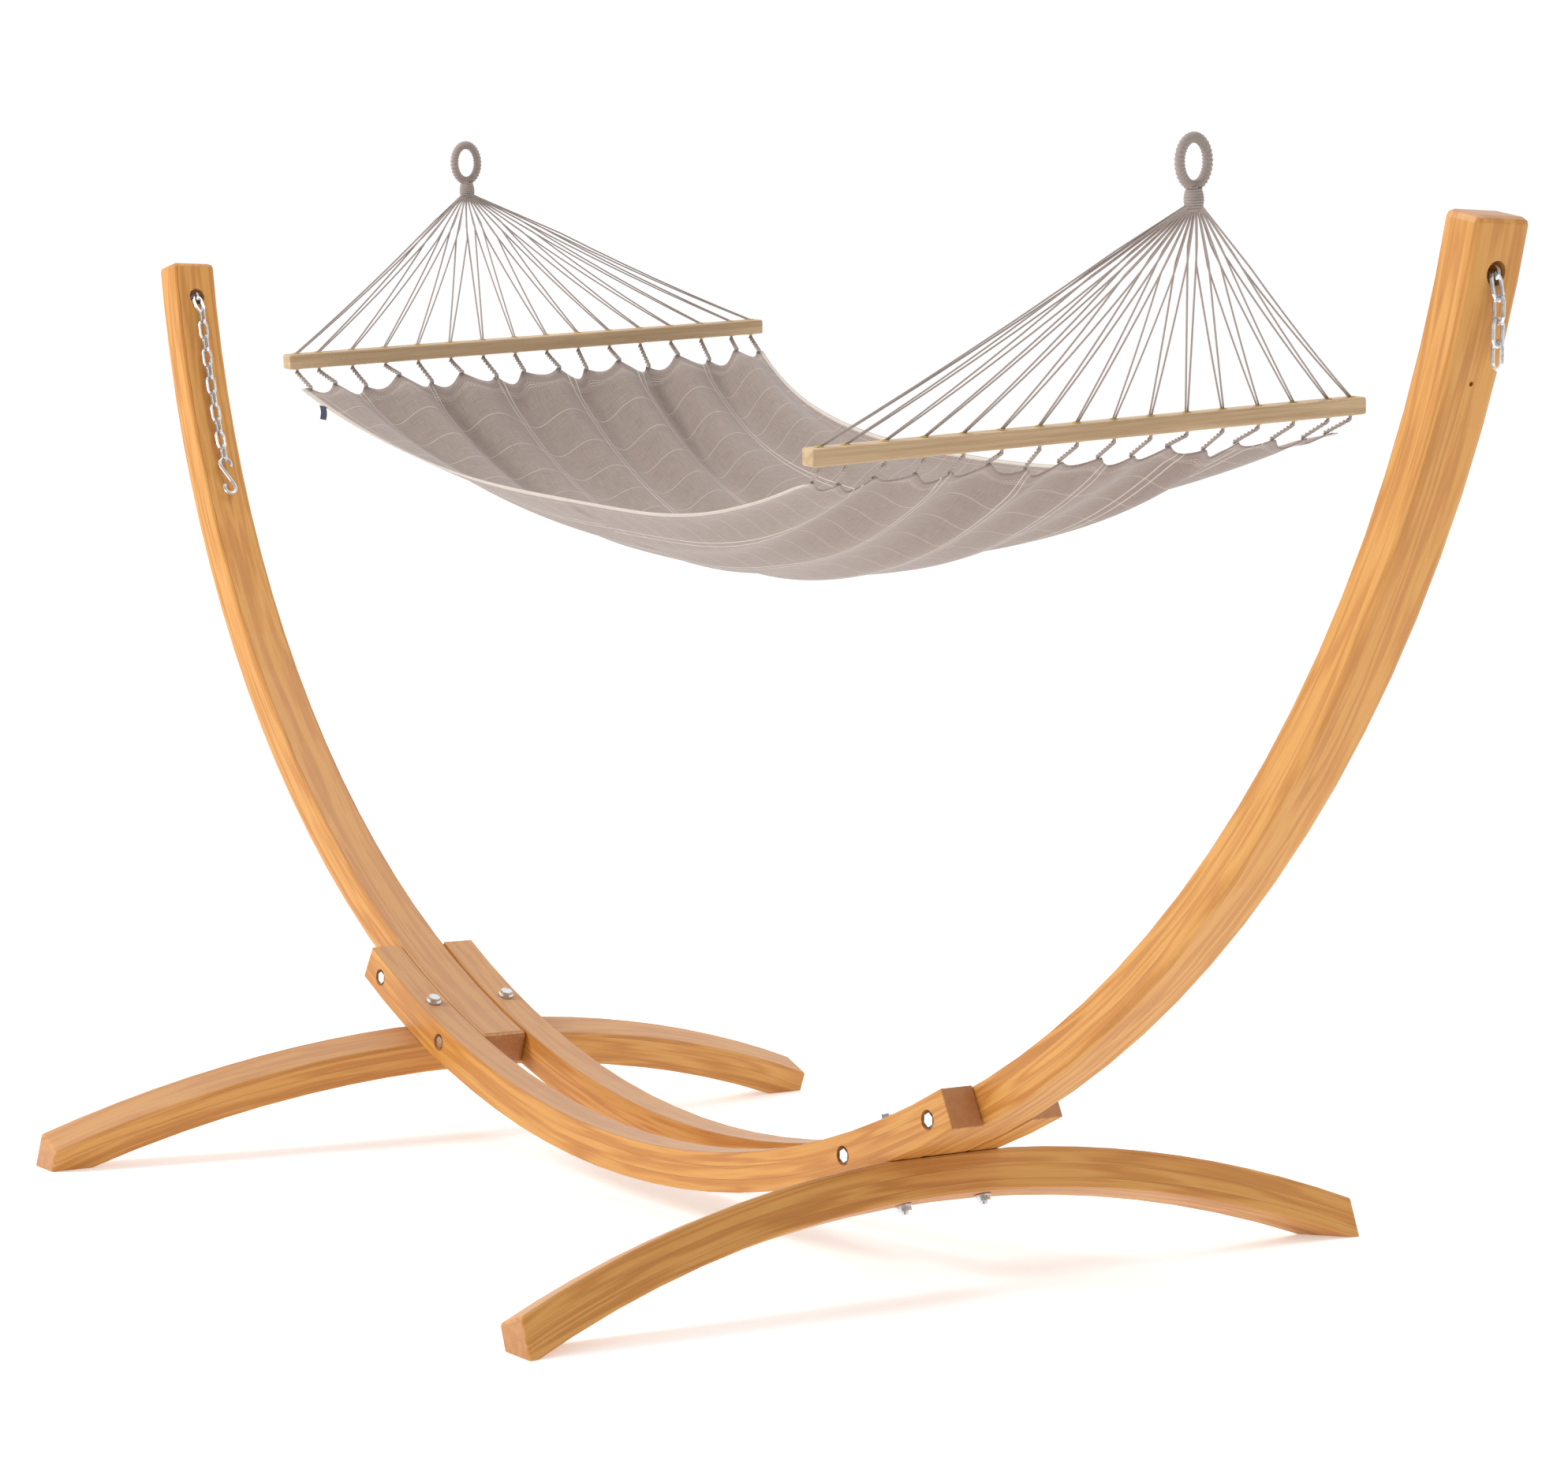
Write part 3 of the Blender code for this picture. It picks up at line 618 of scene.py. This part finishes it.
def cloth_material():
    """Taupe plain weave with a grid of cream yarns, and stitched hems."""
    nodes = Nodes("taupe_plaid_cloth")
    u, v, _ = nodes.split(nodes.coordinate("UV"))
    warp = nodes.math("SINE", nodes.math("MULTIPLY", u, WEAVE_FREQUENCY))
    weft = nodes.math("SINE", nodes.math("MULTIPLY", v, WEAVE_FREQUENCY))
    weave = nodes.math("MULTIPLY_ADD", nodes.math("MULTIPLY", warp, weft), 0.5, 0.5)
    slub_axes = nodes.join(nodes.math("MULTIPLY", u, SLUB_LONG), nodes.math("MULTIPLY", v, SLUB_FINE), 0.0)
    slub = nodes.noise(slub_axes, 1.0, 2.0)
    across_axes = nodes.join(nodes.math("MULTIPLY", u, SLUB_FINE), nodes.math("MULTIPLY", v, SLUB_LONG), 3.0)
    slub_across = nodes.noise(across_axes, 1.0, 2.0)
    tone = nodes.math("ADD", nodes.math("MULTIPLY", weave, 0.22),
                      nodes.math("MULTIPLY", nodes.math("ADD", slub, slub_across), 0.40))
    colour = nodes.ramp(tone, ((0.30, (0.200, 0.150, 0.126)), (0.72, (0.36, 0.290, 0.255))))

    def lines(coordinate, spacing, half_width, phase):
        cell = nodes.math("FRACT", nodes.math("ADD", nodes.math("DIVIDE", coordinate, spacing), phase))
        return nodes.math("COMPARE", cell, 0.5, half_width / spacing)

    strong = nodes.math("ADD", lines(v, PLAID_SPACING_ACROSS, 0.00085, 0.10),
                        lines(v, PLAID_SPACING_ACROSS, 0.00085, 0.18), clamp=True)
    thin = lines(u, PLAID_SPACING_ALONG, 0.0006, 0.0)
    colour = nodes.mix(nodes.math("MULTIPLY", strong, 0.62), colour, (0.74, 0.67, 0.58))
    colour = nodes.mix(nodes.math("MULTIPLY", thin, 0.42), colour, (0.72, 0.64, 0.55))
    edge_v = nodes.math("SUBTRACT", CLOTH_HALF_WIDTH, nodes.math("ABSOLUTE", v))
    edge_u = nodes.math("SUBTRACT", CLOTH_HALF_LENGTH, nodes.math("ABSOLUTE", u))
    hem = nodes.math("LESS_THAN", edge_v, 0.007)
    colour = nodes.mix(nodes.math("MULTIPLY", hem, 0.55), colour, (0.74, 0.66, 0.58))
    run = nodes.math("MULTIPLY", nodes.math("ADD", u, v), STITCH_FREQUENCY)
    dash = nodes.math("GREATER_THAN", nodes.math("SINE", run), -0.2)
    seams = nodes.math("ADD", nodes.math("COMPARE", edge_u, HEM_BAND, 0.0007),
                       nodes.math("COMPARE", edge_u, HEM_BAND * 1.45, 0.0007))
    seams = nodes.math("ADD", seams, nodes.math("COMPARE", edge_v, HEM_BAND * 0.8, 0.0006), clamp=True)
    stitches = nodes.math("MULTIPLY", nodes.math("MULTIPLY", seams, dash), 0.6)
    colour = nodes.mix(stitches, colour, (0.62, 0.53, 0.45))
    nodes.put(nodes.shader.inputs["Base Color"], colour)
    nodes.shader.inputs["Roughness"].default_value = 0.88
    nodes.shader.inputs["Sheen Weight"].default_value = 0.25
    nodes.shader.inputs["Sheen Roughness"].default_value = 0.5
    height = nodes.math("ADD", tone, nodes.math("MULTIPLY", seams, -0.8))
    nodes.bump(height, 0.45, 0.0006)
    return nodes.material


def make_cloth():
    shape = bmesh.new()
    layer = shape.loops.layers.uv.new("UVMap")
    rows = []
    for column in range(CLOTH_COLUMNS + 1):
        share_x = column / CLOTH_COLUMNS * 2.0 - 1.0
        row = []
        for step in range(CLOTH_ROWS + 1):
            share_y = step / CLOTH_ROWS * 2.0 - 1.0
            vertex = shape.verts.new(HANG @ cloth_point(share_x, share_y))
            row.append((vertex, (share_x * CLOTH_HALF_LENGTH, share_y * CLOTH_HALF_WIDTH)))
        rows.append(row)
    for first, second in zip(rows, rows[1:]):
        for low in range(CLOTH_ROWS):
            corners = (first[low], second[low], second[low + 1], first[low + 1])
            face = shape.faces.new([corner[0] for corner in corners])
            for loop, corner in zip(face.loops, corners):
                loop[layer].uv = corner[1]
    mesh = bpy.data.meshes.new("hammock_bed")
    shape.to_mesh(mesh)
    shape.free()
    mesh.shade_smooth()
    cloth = add_mesh("hammock_bed", mesh, cloth_material())
    solidify = cloth.modifiers.new("thickness", "SOLIDIFY")
    solidify.thickness = CLOTH_THICKNESS
    solidify.offset = 0.0
    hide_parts("bed_cloth")
    return cloth


def make_tag():
    """A small plain woven tab in the front corner's hem."""
    nodes = Nodes("navy_tab")
    weave = nodes.noise(nodes.coordinate("Object"), 1500.0, 2.0)
    nodes.put(nodes.shader.inputs["Base Color"],
              nodes.ramp(weave, ((0.3, (0.012, 0.014, 0.04)), (0.7, (0.03, 0.034, 0.08)))))
    nodes.shader.inputs["Roughness"].default_value = 0.8
    shape = bmesh.new()
    bmesh.ops.create_grid(shape, x_segments=6, y_segments=6, size=0.5)
    start = cloth_point(-0.93, -1.0)
    for vertex in shape.verts:
        x, y = vertex.co.x, vertex.co.y
        bend = 0.002 * math.sin((y + 0.5) * 3.0)
        vertex.co = HANG @ (start + Vector((x * 0.020, bend - 0.001, -0.011 + y * 0.020)))
    mesh = bpy.data.meshes.new("corner_tab")
    shape.to_mesh(mesh)
    shape.free()
    tab = add_mesh("corner_tab", mesh, nodes.material)
    solidify = tab.modifiers.new("thickness", "SOLIDIFY")
    solidify.thickness = 0.001


# ---------------------------------------------------------------- studio

FLOOR_RADIUS = 40.0
FLOOR_GAP = 0.0005
LIGHT_TARGET = (0.0, 0.0, 0.7)


def make_floor():
    bpy.ops.mesh.primitive_circle_add(vertices=96, radius=FLOOR_RADIUS, fill_type="NGON",
                                      location=(0.0, 0.0, -FLOOR_GAP))
    floor = bpy.context.object
    floor.name = "floor"
    nodes = Nodes("studio_floor")
    nodes.shader.inputs["Base Color"].default_value = (0.86, 0.86, 0.86, 1.0)
    nodes.shader.inputs["Roughness"].default_value = 0.9
    nodes.shader.inputs["Specular IOR Level"].default_value = 0.1
    nodes.shader.inputs["Emission Color"].default_value = (1.0, 1.0, 1.0, 1.0)
    nodes.shader.inputs["Emission Strength"].default_value = 0.36
    floor.data.materials.append(nodes.material)


def make_world():
    world = bpy.data.worlds.new("studio")
    bpy.context.scene.world = world
    world.use_nodes = True
    tree = world.node_tree
    background = tree.nodes["Background"]
    nodes = Nodes.wrap(tree)
    aim = nodes.vector("DOT_PRODUCT", nodes.coordinate("Generated"), (-0.79, 0.56, 0.25))
    glow = nodes.math("MULTIPLY_ADD", nodes.math("ADD", aim, 0.75, clamp=True), 0.68, 0.34)
    nodes.put(background.inputs["Strength"], glow)
    background.inputs["Color"].default_value = (1.0, 1.0, 1.0, 1.0)


def make_light(name, place, target, size, power):
    data = bpy.data.lights.new(name, "AREA")
    data.size = size
    data.energy = power
    light = bpy.data.objects.new(name, data)
    light.location = place
    light.rotation_euler = (Vector(target) - Vector(place)).to_track_quat("-Z", "Y").to_euler()
    bpy.context.scene.collection.objects.link(light)


def make_studio():
    make_world()
    make_floor()
    make_light("key", (-2.2, -5.6, 4.6), LIGHT_TARGET, 2.0, 300.0)
    make_light("fill", (6.0, 1.5, 3.4), LIGHT_TARGET, 4.0, 20.0)
    make_light("top", (0.5, 1.5, 5.5), LIGHT_TARGET, 3.0, 60.0)
    bpy.context.scene.view_settings.view_transform = "Standard"


make_camera()
make_cords()
make_cloth()
make_tag()
paint_stand()
paint_steel()
for bar_label in SIDES:
    bar_paint = straight_wood(bar_label + "_bar_beech", (0.36, 0.23, 0.115), (0.56, 0.40, 0.235), HANG)
    repaint(bar_label + "_spreader_bar", bar_paint)
make_studio()
